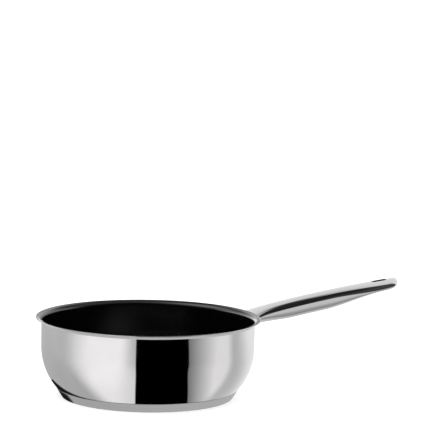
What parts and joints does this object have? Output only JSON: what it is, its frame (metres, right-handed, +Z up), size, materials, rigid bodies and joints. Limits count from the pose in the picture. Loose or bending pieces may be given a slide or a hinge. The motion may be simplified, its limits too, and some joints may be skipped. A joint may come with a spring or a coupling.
{
  "type": "saute pan",
  "caption": "Shallow round steel saute pan with a flared pouring lip, black non-stick inside, thick encapsulated base and a long hollow handle with a hanging slot.",
  "frame": {"origin": "centre of the base's underside", "axes": "+Z up out of the mouth, +X from the vessel's axis along the handle"},
  "size_m": [0.3838, 0.2138, 0.099],
  "materials": {
    "polished_steel": "mirror polished stainless steel",
    "black_nonstick": "matt black non-stick coating",
    "core_aluminium": "rolled aluminium",
    "base_steel": "fine turned stainless steel",
    "handle_steel": "mirror polished stainless steel",
    "inner_steel": "plain pressed stainless steel"
  },
  "bodies": {
    "root": {"pan_body": "polished_steel", "nonstick_coating": "black_nonstick", "base_core_disc": "core_aluminium", "base_capsule": "base_steel", "handle_upper_shell": "handle_steel", "handle_lower_shell": "handle_steel", "handle_root_cup": "inner_steel", "hanging_eye_sleeve": "handle_steel"}
  },
  "joints": []
}
